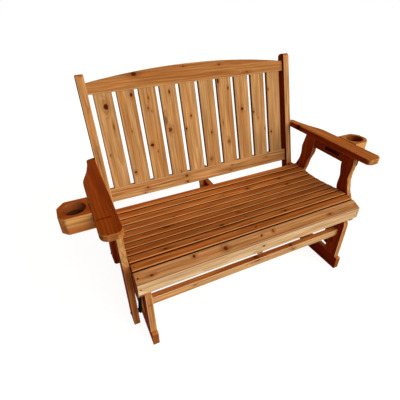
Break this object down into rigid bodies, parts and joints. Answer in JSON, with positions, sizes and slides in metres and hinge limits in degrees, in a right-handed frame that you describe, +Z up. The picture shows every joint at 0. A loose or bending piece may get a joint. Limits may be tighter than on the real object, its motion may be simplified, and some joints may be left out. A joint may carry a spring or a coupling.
{
  "type": "glider bench",
  "caption": "Slatted cedar glider bench on a low stand: contoured seat, leaning slatted back, broad arms, plug-in cup holders and swinging steel links.",
  "frame": {"origin": "on the floor under the middle of the whole bench", "axes": "+X to the sitter's left hand side as seen from the front (viewer's right), +Y from the front of the seat to the back, +Z up"},
  "size_m": [1.6076, 0.7834, 1.0563],
  "materials": {
    "seat_cedar": "satin oiled cedar",
    "back_cedar": "satin oiled cedar",
    "frame_cedar": "satin oiled cedar",
    "arm_cedar": "satin oiled cedar",
    "stand_cedar": "satin oiled cedar",
    "link_steel": "black powder coat",
    "bolt_steel": "black zinc",
    "screw_steel": "brown coated"
  },
  "bodies": {
    "stand": {"front_stretcher": "stand_cedar", "rear_stretcher": "stand_cedar", "runner_left": "stand_cedar", "runner_right": "stand_cedar", "stand_front_leg_left": "stand_cedar", "stand_front_leg_right": "stand_cedar", "stand_rear_leg_left": "stand_cedar", "stand_rear_leg_right": "stand_cedar", "stand_screws": "screw_steel", "upper_pivot_bolts": "bolt_steel"},
    "link_front_left": {"link_front_left": "link_steel"},
    "link_front_right": {"link_front_right": "link_steel"},
    "link_rear_left": {"link_rear_left": "link_steel"},
    "link_rear_right": {"link_rear_right": "link_steel"},
    "bench": {"apron_left": "frame_cedar", "apron_right": "frame_cedar", "arm_left": "arm_cedar", "arm_right": "arm_cedar", "back_post_left": "frame_cedar", "back_post_right": "frame_cedar", "back_slat_01": "back_cedar", "back_slat_02": "back_cedar", "back_slat_03": "back_cedar", "back_slat_04": "back_cedar", "back_slat_05": "back_cedar", "back_slat_06": "back_cedar", "back_slat_07": "back_cedar", "back_slat_08": "back_cedar", "back_slat_09": "back_cedar", "back_slat_10": "back_cedar", "bench_screws": "screw_steel", "bottom_rail": "frame_cedar", "centre_brace": "frame_cedar", "corbel_left": "frame_cedar", "corbel_right": "frame_cedar", "front_leg_left": "frame_cedar", "front_leg_right": "frame_cedar", "lower_pivot_bolts": "bolt_steel", "rear_leg_left": "frame_cedar", "rear_leg_right": "frame_cedar", "seat_rib_centre": "frame_cedar", "seat_rib_left": "frame_cedar", "seat_rib_right": "frame_cedar", "seat_slat_01": "seat_cedar", "seat_slat_02": "seat_cedar", "seat_slat_03": "seat_cedar", "seat_slat_04": "seat_cedar", "seat_slat_05": "seat_cedar", "seat_slat_06": "seat_cedar", "seat_slat_07": "seat_cedar", "seat_slat_08": "seat_cedar", "seat_slat_09": "seat_cedar", "seat_slat_10": "seat_cedar", "seat_slat_11": "seat_cedar", "seat_slat_12": "seat_cedar", "top_rail": "frame_cedar"},
    "cup_holder_left": {"cup_board_lower_left": "arm_cedar", "cup_board_upper_left": "arm_cedar"},
    "cup_holder_right": {"cup_board_lower_right": "arm_cedar", "cup_board_upper_right": "arm_cedar"}
  },
  "joints": [
    {"name": "bench_glide", "type": "hinge", "parent": "link_front_left", "child": "bench", "pos_m": [-0.5825, -0.25666, 0.108], "axis": [1, 0, 0], "range_deg": [-12.64, 12.64]},
    {"name": "front_left_link_swing", "type": "hinge", "parent": "stand", "child": "link_front_left", "pos_m": [-0.5825, -0.33366, 0.3], "axis": [1, 0, 0], "range_deg": [-10.02, 10.02]},
    {"name": "rear_left_link_swing", "type": "hinge", "parent": "stand", "child": "link_rear_left", "pos_m": [-0.5825, 0.24417, 0.3], "axis": [1, 0, 0], "range_deg": [-10.02, 10.02]},
    {"name": "front_right_link_swing", "type": "hinge", "parent": "stand", "child": "link_front_right", "pos_m": [0.5825, -0.33366, 0.3], "axis": [1, 0, 0], "range_deg": [-10.02, 10.02]},
    {"name": "rear_right_link_swing", "type": "hinge", "parent": "stand", "child": "link_rear_right", "pos_m": [0.5825, 0.24417, 0.3], "axis": [1, 0, 0], "range_deg": [-10.02, 10.02]},
    {"name": "cup_holder_right_slide", "type": "slide", "parent": "bench", "child": "cup_holder_right", "axis": [1, 0, 0], "range_m": [0, 0.018]},
    {"name": "cup_holder_left_slide", "type": "slide", "parent": "bench", "child": "cup_holder_left", "axis": [-1, 0, 0], "range_m": [0, 0.018]}
  ],
  "couplings": [
    {"joint": "front_left_link_swing", "follows": "bench_glide", "ratio": -0.79126},
    {"joint": "front_right_link_swing", "follows": "bench_glide", "ratio": -0.79126},
    {"joint": "rear_left_link_swing", "follows": "bench_glide", "ratio": -0.74308},
    {"joint": "rear_right_link_swing", "follows": "bench_glide", "ratio": -0.74308}
  ]
}
